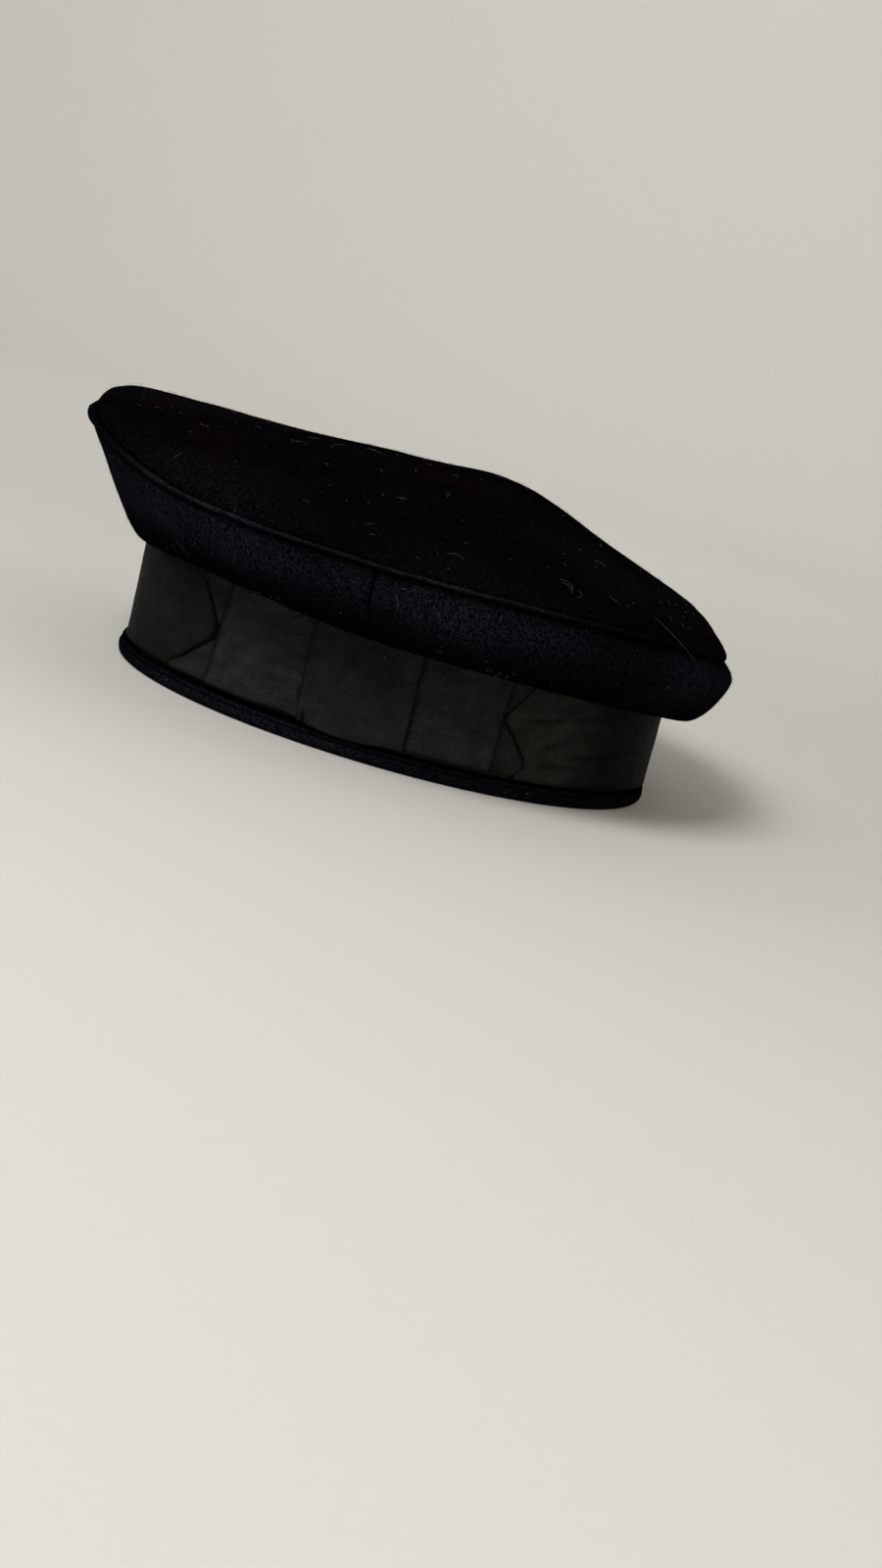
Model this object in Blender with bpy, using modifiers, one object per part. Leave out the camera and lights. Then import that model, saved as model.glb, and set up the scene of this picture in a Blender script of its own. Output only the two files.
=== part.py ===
"""A soft round sailor cap of wool cloth, with a ribbon tied in a flat bow on its left side.

The cap stands on its rolled lower edge, as it rests on a table. The origin is the middle of the head
opening, on the plane it rests on. +Z is up, -Y is the cap's front and +X is the wearer's left.
An angle round the cap starts at the front, in degrees, and grows towards the wearer's left.
All sizes are in metres.
"""

import math

import bmesh
import bpy
from mathutils import Vector

# Head opening, at the inside of the band
HEAD_LENGTH = 0.1960
HEAD_WIDTH = 0.1610

# Space left between pieces that touch, and between the cloth's edges and the piping
GAP = 0.0003
SEAM_GAP = 0.0006

# Band, ribbon and the rolled edge under them. The band rises past the ribbon, and leans forward.
# The rolled edge stands proud of the ribbon, more at the front than at the back.
BAND_WALL = 0.0025
BAND_ABOVE = 0.0015
BAND_LEAN = 0.0016
RIBBON_WALL = 0.0010
RIBBON_WIDTH = 0.0390
WELT_HEIGHT = 0.0066
WELT_PROUD = 0.0012
WELT_SHIFT = 0.0009

# Crown. Its oval lies forward of the head's, and its peak behind the middle of the head.
CLOTH = 0.0020
CROWN_LENGTH = 0.2478
CROWN_WIDTH = 0.2450
CROWN_SHIFT = 0.0087
CROWN_RISE = 0.0530
PEAK_SHIFT = 0.0133
PIPING_RADIUS = 0.0015
SEAM_ANGLE = 93.6

# Bow, measured along the ribbon from its middle to the front and to the back
BOW_ANGLE = 90.0
WING_WALL = 0.0012
KNOT_WIDTH = 0.0375
WING_FRONT = 0.0545
WING_BACK = 0.0505
TAIL_FRONT = 0.0750
TAIL_BACK = 0.0640

# The layers of ribbon outside the band, counted outwards
WRAP_LAYER = 1
TAIL_LAYER = 2

# How finely the curved pieces are divided
STEPS_ROUND = 72
STEPS_PER_SPAN = 3
BOW_STEPS = 18
BOW_ROWS = 8
PIPING_RESOLUTION = 1

# Heights that follow from the sizes above. The knot's turned edges are as wide as the ribbon.
BAND_FOOT = WELT_HEIGHT + GAP
RIBBON_TOP = BAND_FOOT + RIBBON_WIDTH
BAND_TOP = RIBBON_TOP + BAND_ABOVE
BOW_FOOT = BAND_FOOT + RIBBON_WALL + GAP
BOW_HEIGHT = RIBBON_TOP - RIBBON_WALL - GAP - BOW_FOOT

# The rolled edge's outline: out is a share of its width, up of WELT_HEIGHT.
WELT_OUTLINE = (
    dict(out=0.16, up=0.00),
    dict(out=0.70, up=0.00),
    dict(out=0.92, up=0.14),
    dict(out=1.00, up=0.40),
    dict(out=0.97, up=0.68),
    dict(out=0.82, up=0.90),
    dict(out=0.60, up=1.00),
    dict(out=0.10, up=1.00),
    dict(out=0.00, up=0.88),
    dict(out=0.00, up=0.16),
)

# Shape of the crown's side at angles round the cap: the rim, the fold that hangs over the ribbon
# and the belly between them. rim_up, fold_up and belly_up are shares of CROWN_RISE above the
# band's top; fold_out and belly_out are shares of the way out from the ribbon to the rim.
SIDE_SECTIONS = (
    dict(angle=0, rim_up=0.70, fold_out=0.10, fold_up=-0.07, belly_out=0.50, belly_up=0.28),
    dict(angle=30, rim_up=0.63, fold_out=0.20, fold_up=-0.04, belly_out=0.59, belly_up=0.23),
    dict(angle=60, rim_up=0.46, fold_out=0.42, fold_up=0.00, belly_out=0.80, belly_up=0.20),
    dict(angle=90, rim_up=0.43, fold_out=0.50, fold_up=-0.06, belly_out=0.91, belly_up=0.17),
    dict(angle=120, rim_up=0.42, fold_out=0.52, fold_up=-0.09, belly_out=1.00, belly_up=0.14),
    dict(angle=150, rim_up=0.365, fold_out=0.58, fold_up=-0.15, belly_out=1.20, belly_up=0.12),
    dict(angle=180, rim_up=0.25, fold_out=0.70, fold_up=-0.23, belly_out=1.38, belly_up=0.08),
)

# Rise of the crown's top from the rim (0) to the peak (1), for each angle round the cap, at five
# shares of the way out from the peak: near the peak, half way, at the shoulder, at the edge and
# where it rolls over to the rim.
TOP_PLACES = (0.20, 0.50, 0.80, 0.95, 0.985)
TOP_SECTIONS = (
    dict(angle=0, roll=0.38, edge=0.52, shoulder=0.54, middle=0.66, inner=0.84),
    dict(angle=45, roll=0.20, edge=0.32, shoulder=0.45, middle=0.69, inner=0.89),
    dict(angle=90, roll=0.10, edge=0.20, shoulder=0.40, middle=0.71, inner=0.94),
    dict(angle=135, roll=0.07, edge=0.14, shoulder=0.31, middle=0.63, inner=0.93),
    dict(angle=180, roll=0.06, edge=0.12, shoulder=0.29, middle=0.60, inner=0.92),
)

# Slack folds that run in from the rim towards the peak: a ridge where depth, a share of the rise
# from the rim to the peak, is positive. width is in degrees.
TOP_FOLDS = (
    dict(angle=52, width=16, depth=0.040),
    dict(angle=78, width=20, depth=-0.025),
    dict(angle=-60, width=22, depth=0.025),
    dict(angle=150, width=20, depth=0.020),
    dict(angle=-140, width=24, depth=-0.020),
)

# Ends of the bow's tails, cut as swallow tails, and of its wings: how far out they reach at each
# height. up is a share of BOW_HEIGHT, and front and back are shares of TAIL_FRONT and TAIL_BACK,
# or of WING_FRONT and WING_BACK.
TAIL_ENDS = (
    dict(up=0.00, front=1.00, back=0.91),
    dict(up=0.09, front=0.98, back=0.97),
    dict(up=0.30, front=0.83, back=0.92),
    dict(up=0.52, front=0.735, back=0.79),
    dict(up=0.75, front=0.80, back=0.88),
    dict(up=0.90, front=0.86, back=0.94),
    dict(up=1.00, front=0.98, back=0.97),
)
WING_ENDS = (
    dict(up=0.00, front=1.03, back=0.99),
    dict(up=0.50, front=0.99, back=1.00),
    dict(up=1.00, front=0.97, back=1.01),
)

NAVY_WOOL = ("navy_wool", (0.0030, 0.0028, 0.0048, 1.0), 0.95)
BLACK_RIBBON = ("black_ribbon", (0.0110, 0.0110, 0.0105, 1.0), 0.62)


def clear_scene():
    for thing in list(bpy.data.objects):
        bpy.data.objects.remove(thing)


def new_collection(name):
    collection = bpy.data.collections.new(name)
    bpy.context.scene.collection.children.link(collection)
    return collection


def new_material(kind, piece):
    """Each piece has a material of its own, of one of the cap's two kinds of cloth."""
    name, colour, roughness = kind
    material = bpy.data.materials.new(piece + "_" + name)
    material.use_nodes = True
    shader = material.node_tree.nodes["Principled BSDF"]
    shader.inputs["Base Color"].default_value = colour
    shader.inputs["Roughness"].default_value = roughness
    shader.inputs["Metallic"].default_value = 0.0
    material.diffuse_color = colour
    return material


def smooth_value(places, values, place, level_ends=True):
    """The height at place of a smooth curve through the values at the places."""
    last = len(places) - 1
    slopes = []
    for i in range(len(places)):
        low, high = max(i - 1, 0), min(i + 1, last)
        slopes.append((values[high] - values[low]) / (places[high] - places[low]))
    if level_ends:
        slopes[0] = slopes[last] = 0.0
    i = 0
    while i < last - 1 and place > places[i + 1]:
        i += 1
    run = places[i + 1] - places[i]
    t = (place - places[i]) / run
    start = (1 + 2 * t) * (1 - t) ** 2 * values[i] + t * (1 - t) ** 2 * run * slopes[i]
    end = t * t * (3 - 2 * t) * values[i + 1] + t * t * (t - 1) * run * slopes[i + 1]
    return start + end


def angle_from_front(angle):
    """The angle folded to 0..180, because the wearer's right mirrors the left."""
    return abs((angle + 180.0) % 360.0 - 180.0)


def from_table(table, column, angle):
    places = [row["angle"] for row in table]
    values = [row[column] for row in table]
    return smooth_value(places, values, angle_from_front(angle))


def band_point(angle, outset, height):
    """A point on the head oval, outset from the inside of the band."""
    a = math.radians(angle)
    x = (HEAD_WIDTH / 2 + outset) * math.sin(a)
    y = -(HEAD_LENGTH / 2 + outset) * math.cos(a)
    return Vector((x, y - BAND_LEAN * height / BAND_TOP, height))


def ribbon_face(layers):
    """How far out the outer face is of the ribbon that many layers of the bow from the band."""
    return BAND_WALL + layers * (GAP + RIBBON_WALL)


def rim_point(angle):
    """The middle of the seam between the crown's top and its side."""
    a = math.radians(angle)
    height = BAND_TOP + CROWN_RISE * from_table(SIDE_SECTIONS, "rim_up", angle)
    return Vector((CROWN_WIDTH / 2 * math.sin(a), -CROWN_LENGTH / 2 * math.cos(a) - CROWN_SHIFT, height))


def evenly(start, end, steps):
    return [start + (end - start) * i / steps for i in range(steps + 1)]


def all_round():
    return evenly(0.0, 360.0, STEPS_ROUND)[:-1]


def place_piece(piece, collection, kind):
    piece.data.materials.append(new_material(kind, piece.name))
    collection.objects.link(piece)
    return piece


def mesh_piece(name, build, collection, kind):
    """A new object with the mesh that the build function makes, shaded smooth."""
    mesh = bpy.data.meshes.new(name)
    shape = bmesh.new()
    build(shape)
    bmesh.ops.recalc_face_normals(shape, faces=shape.faces)
    shape.to_mesh(mesh)
    shape.free()
    mesh.shade_smooth()
    mesh.set_sharp_from_angle(angle=math.radians(50))
    return place_piece(bpy.data.objects.new(name, mesh), collection, kind)


def loft(shape, sections, closed_round, closed_section=False):
    """Faces between neighbouring sections, each a list of as many points."""
    rows = [[shape.verts.new(point) for point in section] for section in sections]
    pairs = list(zip(rows, rows[1:]))
    if closed_round:
        pairs.append((rows[-1], rows[0]))
    for this, following in pairs:
        count = len(this)
        for i in range(count if closed_section else count - 1):
            j = (i + 1) % count
            shape.faces.new((this[i], following[i], following[j], this[j]))
    return rows


def add_wall(piece, thickness):
    """Gives a sheet its thickness, behind its face."""
    wall = piece.modifiers.new("wall", "SOLIDIFY")
    wall.thickness = thickness
    wall.offset = -1
    wall.use_even_offset = True
    wall.use_quality_normals = True


def make_oval_ring(name, inner, wall, foot, top, collection, kind):
    """An upright oval ring with flat edges, leaning forward with the head."""
    corners = ((inner, foot), (inner + wall, foot), (inner + wall, top), (inner, top))

    def build(shape):
        sections = []
        for angle in all_round():
            sections.append([band_point(angle, outset, height) for outset, height in corners])
        loft(shape, sections, closed_round=True, closed_section=True)

    return mesh_piece(name, build, collection, kind)


def welt_section(angle):
    """The rolled edge at an angle: flat where it stands, round outside."""
    width = ribbon_face(WRAP_LAYER) + WELT_PROUD + WELT_SHIFT * math.cos(math.radians(angle))
    return [band_point(angle, width * row["out"], WELT_HEIGHT * row["up"]) for row in WELT_OUTLINE]


def side_section(angle):
    """The outside of the crown's side, from the band's top, out and down to the fold, up to the rim."""
    rim = rim_point(angle)
    foot = band_point(angle, ribbon_face(WRAP_LAYER), BAND_TOP)
    overhang = Vector((rim.x - foot.x, rim.y - foot.y, 0.0))

    def key(name):
        out = from_table(SIDE_SECTIONS, name + "_out", angle)
        up = from_table(SIDE_SECTIONS, name + "_up", angle)
        return foot + overhang * out + Vector((0.0, 0.0, CROWN_RISE * up))

    root = band_point(angle, 0.0, BAND_TOP + GAP)
    edge = band_point(angle, ribbon_face(WRAP_LAYER) - RIBBON_WALL / 2, BAND_TOP + GAP)
    seam = rim - Vector((0.0, 0.0, PIPING_RADIUS + SEAM_GAP))
    return smooth_path([root, edge, key("fold"), key("belly"), seam], STEPS_PER_SPAN)


def smooth_path(keys, steps):
    """Points on a smooth path through the keys, the same number on each stretch between two keys."""
    places = list(range(len(keys)))
    points = []
    for i in range(len(keys) - 1):
        for step in range(steps):
            points.append(path_point(keys, places, i + step / steps))
    points.append(keys[-1].copy())
    return points


def path_point(keys, places, place):
    along = [smooth_value(places, [key[axis] for key in keys], place, False) for axis in range(3)]
    return Vector(along)


def top_rise(angle, share):
    """The rise of the crown's top above its seam, as a share of the peak's, at a share of the way out."""
    places = [0.0, *TOP_PLACES, 1.0]
    names = ("inner", "middle", "shoulder", "edge", "roll")
    columns = [from_table(TOP_SECTIONS, name, angle) for name in names]
    rise = smooth_value(places, [1.0, *columns, 0.0], share, False)
    for fold in TOP_FOLDS:
        away = angle_from_front(angle - fold["angle"]) / fold["width"]
        rise += fold["depth"] * math.exp(-away * away) * math.sin(math.pi * share) ** 2
    return rise


def top_point(angle, share):
    """A point on the crown's top, at a share of the way from the peak (0) to the rim's piping (1)."""
    rim = rim_point(angle)
    peak = Vector((0.0, PEAK_SHIFT, BAND_TOP + CROWN_RISE))
    inward = Vector((peak.x - rim.x, peak.y - rim.y, 0.0)).normalized()
    seam = rim + inward * (PIPING_RADIUS + SEAM_GAP) + Vector((0.0, 0.0, CLOTH / 2))
    place = peak.lerp(seam, share)
    place.z = seam.z + (peak.z - seam.z) * top_rise(angle, share)
    return place


def make_crown_top(collection):
    """The round top, with its rings closer where it rolls over at the rim."""
    shares = (0.10, 0.22, 0.38, 0.54, 0.69, 0.82, 0.91, 0.96, 0.985, 1.0)

    def build(shape):
        rings = [[top_point(angle, share) for share in shares] for angle in all_round()]
        rows = loft(shape, rings, closed_round=True)
        peak = shape.verts.new(top_point(0.0, 0.0))
        for this, following in zip(rows, rows[1:] + rows[:1]):
            shape.faces.new((this[0], following[0], peak))

    piece = mesh_piece("crown_top", build, collection, NAVY_WOOL)
    add_wall(piece, CLOTH)
    return piece


def make_side_panel(name, start, end, collection):
    """A panel of the crown's side, between its two upright seams."""
    steps = round(STEPS_ROUND * (end - start) / 360.0)
    trim = math.degrees(GAP / CROWN_WIDTH)

    def build(shape):
        angles = evenly(start + trim, end - trim, steps)
        loft(shape, [side_section(angle) for angle in angles], closed_round=False)

    piece = mesh_piece(name, build, collection, NAVY_WOOL)
    add_wall(piece, CLOTH)
    return piece


def make_rim_piping(collection):
    path = bpy.data.curves.new("rim_piping", "CURVE")
    path.dimensions = "3D"
    path.bevel_depth = PIPING_RADIUS
    path.bevel_resolution = PIPING_RESOLUTION
    spline = path.splines.new("POLY")
    spline.points.add(STEPS_ROUND - 1)
    spline.use_cyclic_u = True
    for point, angle in zip(spline.points, all_round()):
        point.co = (*rim_point(angle), 1.0)
    return place_piece(bpy.data.objects.new("rim_piping", path), collection, NAVY_WOOL)


def make_lower_welt(collection):
    def build(shape):
        sections = [welt_section(angle) for angle in all_round()]
        loft(shape, sections, closed_round=True, closed_section=True)

    return mesh_piece("lower_welt", build, collection, NAVY_WOOL)


def bow_angle(reach):
    """The angle round the cap at a distance from the bow's middle, measured along the ribbon."""
    return BOW_ANGLE + math.degrees(reach / (HEAD_LENGTH / 2 + ribbon_face(WRAP_LAYER)))


def bow_strip(shape, ends, front, back, face):
    """A strip of the bow, whose two ends are cut as the table says."""
    ups = [row["up"] for row in ends]
    lines = []
    for up in evenly(0.0, 1.0, BOW_ROWS):
        first = -front * smooth_value(ups, [row["front"] for row in ends], up, False)
        last = back * smooth_value(ups, [row["back"] for row in ends], up, False)
        height = BOW_FOOT + BOW_HEIGHT * up
        reaches = evenly(first, last, BOW_STEPS)
        lines.append([band_point(bow_angle(reach), face, height) for reach in reaches])
    loft(shape, lines, closed_round=False)


def make_bow_tails(collection):
    """Both swallow-tail ends, in one strip that passes under the wings."""

    def build(shape):
        bow_strip(shape, TAIL_ENDS, TAIL_FRONT, TAIL_BACK, ribbon_face(TAIL_LAYER))

    piece = mesh_piece("bow_tails", build, collection, BLACK_RIBBON)
    add_wall(piece, RIBBON_WALL)
    return piece


def make_bow_wings(collection):
    """The two loops, each pressed flat, so that its two layers lie together."""

    def build(shape):
        bow_strip(shape, WING_ENDS, WING_FRONT, WING_BACK, ribbon_face(TAIL_LAYER) + GAP + WING_WALL)

    piece = mesh_piece("bow_wings", build, collection, BLACK_RIBBON)
    add_wall(piece, WING_WALL)
    return piece


def make_bow_knot(collection):
    """The turn of ribbon over the bow's middle, its two edges drawn in over the wings' edges."""
    face = ribbon_face(TAIL_LAYER) + GAP + WING_WALL + GAP + RIBBON_WALL
    lip = face - WING_WALL
    turn = 0.3 * RIBBON_WALL
    flat = 2.0 * RIBBON_WALL
    profile = (
        (lip, BAND_FOOT),
        (face - turn, BAND_FOOT + turn),
        (face, BAND_FOOT + flat),
        (face, RIBBON_TOP - flat),
        (face - turn, RIBBON_TOP - turn),
        (lip, RIBBON_TOP),
    )

    def build(shape):
        lines = []
        for reach in evenly(-KNOT_WIDTH / 2, KNOT_WIDTH / 2, BOW_STEPS // 2):
            lines.append([band_point(bow_angle(reach), outset, height) for outset, height in profile])
        loft(shape, lines, closed_round=False)

    piece = mesh_piece("bow_knot", build, collection, BLACK_RIBBON)
    add_wall(piece, RIBBON_WALL)
    return piece


def main():
    clear_scene()
    cap = new_collection("sailor_cap")
    make_oval_ring("band", 0.0, BAND_WALL, BAND_FOOT, BAND_TOP, cap, NAVY_WOOL)
    make_oval_ring("ribbon_wrap", BAND_WALL + GAP, RIBBON_WALL, BAND_FOOT, RIBBON_TOP, cap, BLACK_RIBBON)
    make_lower_welt(cap)
    make_side_panel("side_panel_front", -SEAM_ANGLE, SEAM_ANGLE, cap)
    make_side_panel("side_panel_back", SEAM_ANGLE, 360.0 - SEAM_ANGLE, cap)
    make_rim_piping(cap)
    make_crown_top(cap)
    make_bow_tails(cap)
    make_bow_wings(cap)
    make_bow_knot(cap)


main()
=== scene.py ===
"""Dresses the sailor cap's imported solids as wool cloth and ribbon, and stands them in a pale studio.

Sizes and shape tables are the part's own, in metres. An angle goes round the cap, in degrees, from its
front (-Y) towards the wearer's left (+X). A reach is a distance along the ribbon from the middle of the
bow: negative towards the front of the cap, positive towards its back.
"""

import functools
import math
import random

import bmesh
import bpy
from mathutils import Matrix, Vector, bvhtree, noise

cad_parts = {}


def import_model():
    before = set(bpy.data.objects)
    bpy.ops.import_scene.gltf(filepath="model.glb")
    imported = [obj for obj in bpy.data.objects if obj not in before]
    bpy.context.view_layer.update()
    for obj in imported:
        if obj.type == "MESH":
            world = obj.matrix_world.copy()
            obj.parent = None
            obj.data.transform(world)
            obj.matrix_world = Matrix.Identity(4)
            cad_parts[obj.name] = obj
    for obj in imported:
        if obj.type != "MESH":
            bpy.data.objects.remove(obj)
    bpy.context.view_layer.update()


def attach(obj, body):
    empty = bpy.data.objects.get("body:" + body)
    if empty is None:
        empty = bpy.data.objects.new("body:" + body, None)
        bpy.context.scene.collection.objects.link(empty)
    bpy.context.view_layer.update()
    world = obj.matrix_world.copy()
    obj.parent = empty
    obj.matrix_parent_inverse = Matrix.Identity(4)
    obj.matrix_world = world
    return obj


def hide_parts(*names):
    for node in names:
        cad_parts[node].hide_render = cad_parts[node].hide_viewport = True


# Head opening, band, ribbon and rolled edge
HEAD_LENGTH = 0.1960
HEAD_WIDTH = 0.1610
GAP = 0.0003
BAND_WALL = 0.0025
BAND_ABOVE = 0.0015
BAND_LEAN = 0.0016
RIBBON_WALL = 0.0010
RIBBON_WIDTH = 0.0390
WELT_HEIGHT = 0.0066
WELT_PROUD = 0.0012
WELT_SHIFT = 0.0009

# Crown
CLOTH = 0.0020
CROWN_LENGTH = 0.2478
CROWN_WIDTH = 0.2450
CROWN_SHIFT = 0.0087
CROWN_RISE = 0.0530
PEAK_SHIFT = 0.0133
PIPING_RADIUS = 0.0015
SEAM_ANGLE = 93.6

# Heights that follow from the sizes above
BAND_FOOT = WELT_HEIGHT + GAP
RIBBON_TOP = BAND_FOOT + RIBBON_WIDTH
BAND_TOP = RIBBON_TOP + BAND_ABOVE

# Bow
KNOT_WIDTH = 0.0375

# How far out from the inside of the band each layer of ribbon lies: its outer face
WRAP_FACE = BAND_WALL + GAP + RIBBON_WALL
TAIL_FACE = 0.00455
WING_BACK_FACE = 0.00515
WING_FACE = 0.00640
KNOT_FACE = 0.00760
RIBBON_THIN = 0.00042

# Shape of the crown's side at angles round the cap, as in the part
SIDE_SECTIONS = (
    dict(angle=0, rim_up=0.70, fold_out=0.10, fold_up=-0.07, belly_out=0.50, belly_up=0.28),
    dict(angle=30, rim_up=0.63, fold_out=0.20, fold_up=-0.04, belly_out=0.59, belly_up=0.23),
    dict(angle=60, rim_up=0.46, fold_out=0.42, fold_up=0.00, belly_out=0.80, belly_up=0.20),
    dict(angle=90, rim_up=0.43, fold_out=0.50, fold_up=-0.06, belly_out=0.91, belly_up=0.17),
    dict(angle=120, rim_up=0.42, fold_out=0.52, fold_up=-0.09, belly_out=1.00, belly_up=0.14),
    dict(angle=150, rim_up=0.365, fold_out=0.58, fold_up=-0.15, belly_out=1.20, belly_up=0.12),
    dict(angle=180, rim_up=0.25, fold_out=0.70, fold_up=-0.23, belly_out=1.38, belly_up=0.08),
)

# Rise of the crown's top from the rim (0) to the peak (1) at five shares of the way out
TOP_PLACES = (0.20, 0.50, 0.80, 0.95, 0.985)
TOP_SECTIONS = (
    dict(angle=0, roll=0.38, edge=0.52, shoulder=0.54, middle=0.66, inner=0.84),
    dict(angle=45, roll=0.20, edge=0.32, shoulder=0.45, middle=0.69, inner=0.89),
    dict(angle=90, roll=0.10, edge=0.20, shoulder=0.40, middle=0.71, inner=0.94),
    dict(angle=135, roll=0.07, edge=0.14, shoulder=0.31, middle=0.63, inner=0.93),
    dict(angle=180, roll=0.06, edge=0.12, shoulder=0.29, middle=0.60, inner=0.92),
)
TOP_FOLDS = (
    dict(angle=52, width=16, depth=0.040),
    dict(angle=78, width=20, depth=-0.025),
    dict(angle=-60, width=22, depth=0.025),
    dict(angle=150, width=20, depth=0.020),
    dict(angle=-140, width=24, depth=-0.020),
)

# The slack crease over the near side of the crown's top, seen from above: x, y in metres
TOP_CREASE = ((0.104, -0.076), (0.088, -0.057), (0.080, -0.040), (0.045, -0.027), (0.0, -0.017))

# Section of the rolled edge from inside foot round to inside top: out is a share of its width, up of
# its height. A groove runs round it above the middle, where its seam is.
WELT_OUTLINE = (
    (0.10, 0.00), (0.40, 0.00), (0.70, 0.00), (0.86, 0.06), (0.96, 0.18), (1.00, 0.33), (0.985, 0.48),
    (0.94, 0.56), (0.87, 0.62), (0.90, 0.68), (0.91, 0.75), (0.87, 0.84), (0.78, 0.93), (0.62, 1.00),
    (0.40, 1.00), (0.10, 1.00), (0.00, 0.88), (0.00, 0.50), (0.00, 0.12),
)

# Cut ends of the tails and folded ends of the wings and the knot's two edges: height and reach
TAIL_FRONT_END = (
    (0.0078, -0.0752), (0.0094, -0.0768), (0.0133, -0.0696), (0.0189, -0.0625), (0.0235, -0.0566),
    (0.0278, -0.0551), (0.0303, -0.0570), (0.0347, -0.0601), (0.0410, -0.0646), (0.0436, -0.0715),
)
TAIL_BACK_END = (
    (0.0083, 0.0589), (0.0115, 0.0621), (0.0145, 0.0616), (0.0205, 0.0565), (0.0261, 0.0508),
    (0.0289, 0.0513), (0.0357, 0.0565), (0.0415, 0.0604), (0.0442, 0.0640),
)
WING_FRONT_END = ((0.0082, -0.0565), (0.0258, -0.0541), (0.0444, -0.0529))
WING_BACK_END = ((0.0084, 0.0499), (0.0287, 0.0500), (0.0446, 0.0511))
KNOT_FRONT_END = ((0.0091, -0.0180), (0.0149, -0.0187), (0.0283, -0.0191), (0.0442, -0.0183))
KNOT_BACK_END = ((0.0097, 0.0191), (0.0256, 0.0193), (0.0442, 0.0188))

# Section of the knot's turn of ribbon, from its tucked end above over its face to the one below
KNOT_SECTION = (
    dict(out=0.00500, height=0.0425),
    dict(out=0.00540, height=0.0450),
    dict(out=0.00640, height=0.0459),
    dict(out=0.00730, height=0.0448),
    dict(out=KNOT_FACE, height=0.0415),
    dict(out=KNOT_FACE, height=0.0340),
    dict(out=KNOT_FACE, height=0.0260),
    dict(out=KNOT_FACE, height=0.0180),
    dict(out=0.00755, height=0.0115),
    dict(out=0.00725, height=0.0086),
    dict(out=0.00640, height=0.0075),
    dict(out=0.00545, height=0.0082),
    dict(out=0.00505, height=0.0105),
)

# Creases pressed into the ribbon beside the bow: reach and height of each end, then depth
RIBBON_CREASES = (
    (0.0588, 0.0276, 0.0785, 0.0311, 0.00045),
    (0.0785, 0.0311, 0.0960, 0.0335, 0.00030),
    (0.0667, 0.0133, 0.0898, 0.0149, 0.00045),
    (0.0797, 0.0176, 0.1280, 0.0223, 0.00050),
    (0.0700, 0.0200, 0.0760, 0.0215, 0.00035),
    (-0.0950, 0.0330, -0.0760, 0.0290, 0.00025),
)


# Fine things on the cloth. Real nap is 0.02 mm thick and real hairs 0.03 to 0.05 mm: these are thicker,
# so that they show.
NAP_FIBRES = 6600
NAP_THICKNESS = 0.00005
HAIRS = 170
HAIR_THICKNESS = 0.00008
CRUMBS = 340

# Curls of lint on the back of the crown's top, and crumbs on the knot and the rolled edge
LINT_CURLS = (
    dict(angle=125, share=0.90, curl=3.5, length=0.010),
    dict(angle=124, share=0.86, curl=-2.8, length=0.008),
    dict(angle=126, share=0.93, curl=2.2, length=0.007),
)
LINT_SPOTS = (
    dict(place=(0.0882, 0.0052, 0.0374), radius=0.00026),
    dict(place=(0.0872, 0.0161, 0.0324), radius=0.00020),
    dict(place=(0.0670, 0.0627, 0.0030), radius=0.00028),
    dict(place=(0.0655, 0.0640, 0.0036), radius=0.00020),
    dict(place=(0.0635, -0.0697, 0.0030), radius=0.00030),
    dict(place=(0.0630, -0.0705, 0.0036), radius=0.00022),
)

# Studio: the paper lies flat for a way, curves up and stands
PAPER_FLAT = 1.5
PAPER_CURVE = 0.9
PAPER_HEIGHT = 3.2
AIR_STRENGTH = 0.34
CAP_MIDDLE = (0.0, 0.0, 0.05)
WHITE = "#ffffff"
WARM_WHITE = "#fff1dd"
LIGHTS = (
    dict(name="soft_key", place=(1.02, -0.53, 1.16), aim=CAP_MIDDLE, size=0.6, power=18.0, code=WHITE),
    dict(name="front_fill", place=(-0.2, -1.6, 0.9), aim=CAP_MIDDLE, size=0.9, power=2.5, code=WARM_WHITE),
    dict(name="back_fill", place=(-0.4, 1.6, 1.0), aim=CAP_MIDDLE, size=0.9, power=2.5, code=WARM_WHITE),
    dict(name="far_wall_wash", place=(-0.9, 0, 1.7), aim=(-2.6, 0, 0.9), size=1.2, power=14.0, code=WHITE),
    dict(name="near_wall_wash", place=(0.9, 0.9, 1.9), aim=(2.6, 0.9, 0.9), size=1.2, power=5.0, code=WHITE),
)

# Camera, fitted to the cap's edges in the photograph: degrees, and metres in the camera's own directions
CAMERA_BEARING = 94.209
CAMERA_LIFT = 12.363
CAMERA_ROLL = 16.442
CAMERA_RIGHT = 0.022317
CAMERA_DOWN = 0.024725
CAMERA_BACK = 0.745685


def smooth_value(places, values, place, level_ends=True):
    """The height at place of a smooth curve through the values at the places."""
    last = len(places) - 1
    slopes = []
    for i in range(len(places)):
        low, high = max(i - 1, 0), min(i + 1, last)
        slopes.append((values[high] - values[low]) / (places[high] - places[low]))
    if level_ends:
        slopes[0] = slopes[last] = 0.0
    i = 0
    while i < last - 1 and place > places[i + 1]:
        i += 1
    run = places[i + 1] - places[i]
    t = (place - places[i]) / run
    start = (1 + 2 * t) * (1 - t) ** 2 * values[i] + t * (1 - t) ** 2 * run * slopes[i]
    end = t * t * (3 - 2 * t) * values[i + 1] + t * t * (t - 1) * run * slopes[i + 1]
    return start + end


def angle_from_front(angle):
    return abs((angle + 180.0) % 360.0 - 180.0)


def from_table(table, column, angle):
    places = [row["angle"] for row in table]
    values = [row[column] for row in table]
    return smooth_value(places, values, angle_from_front(angle))


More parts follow.
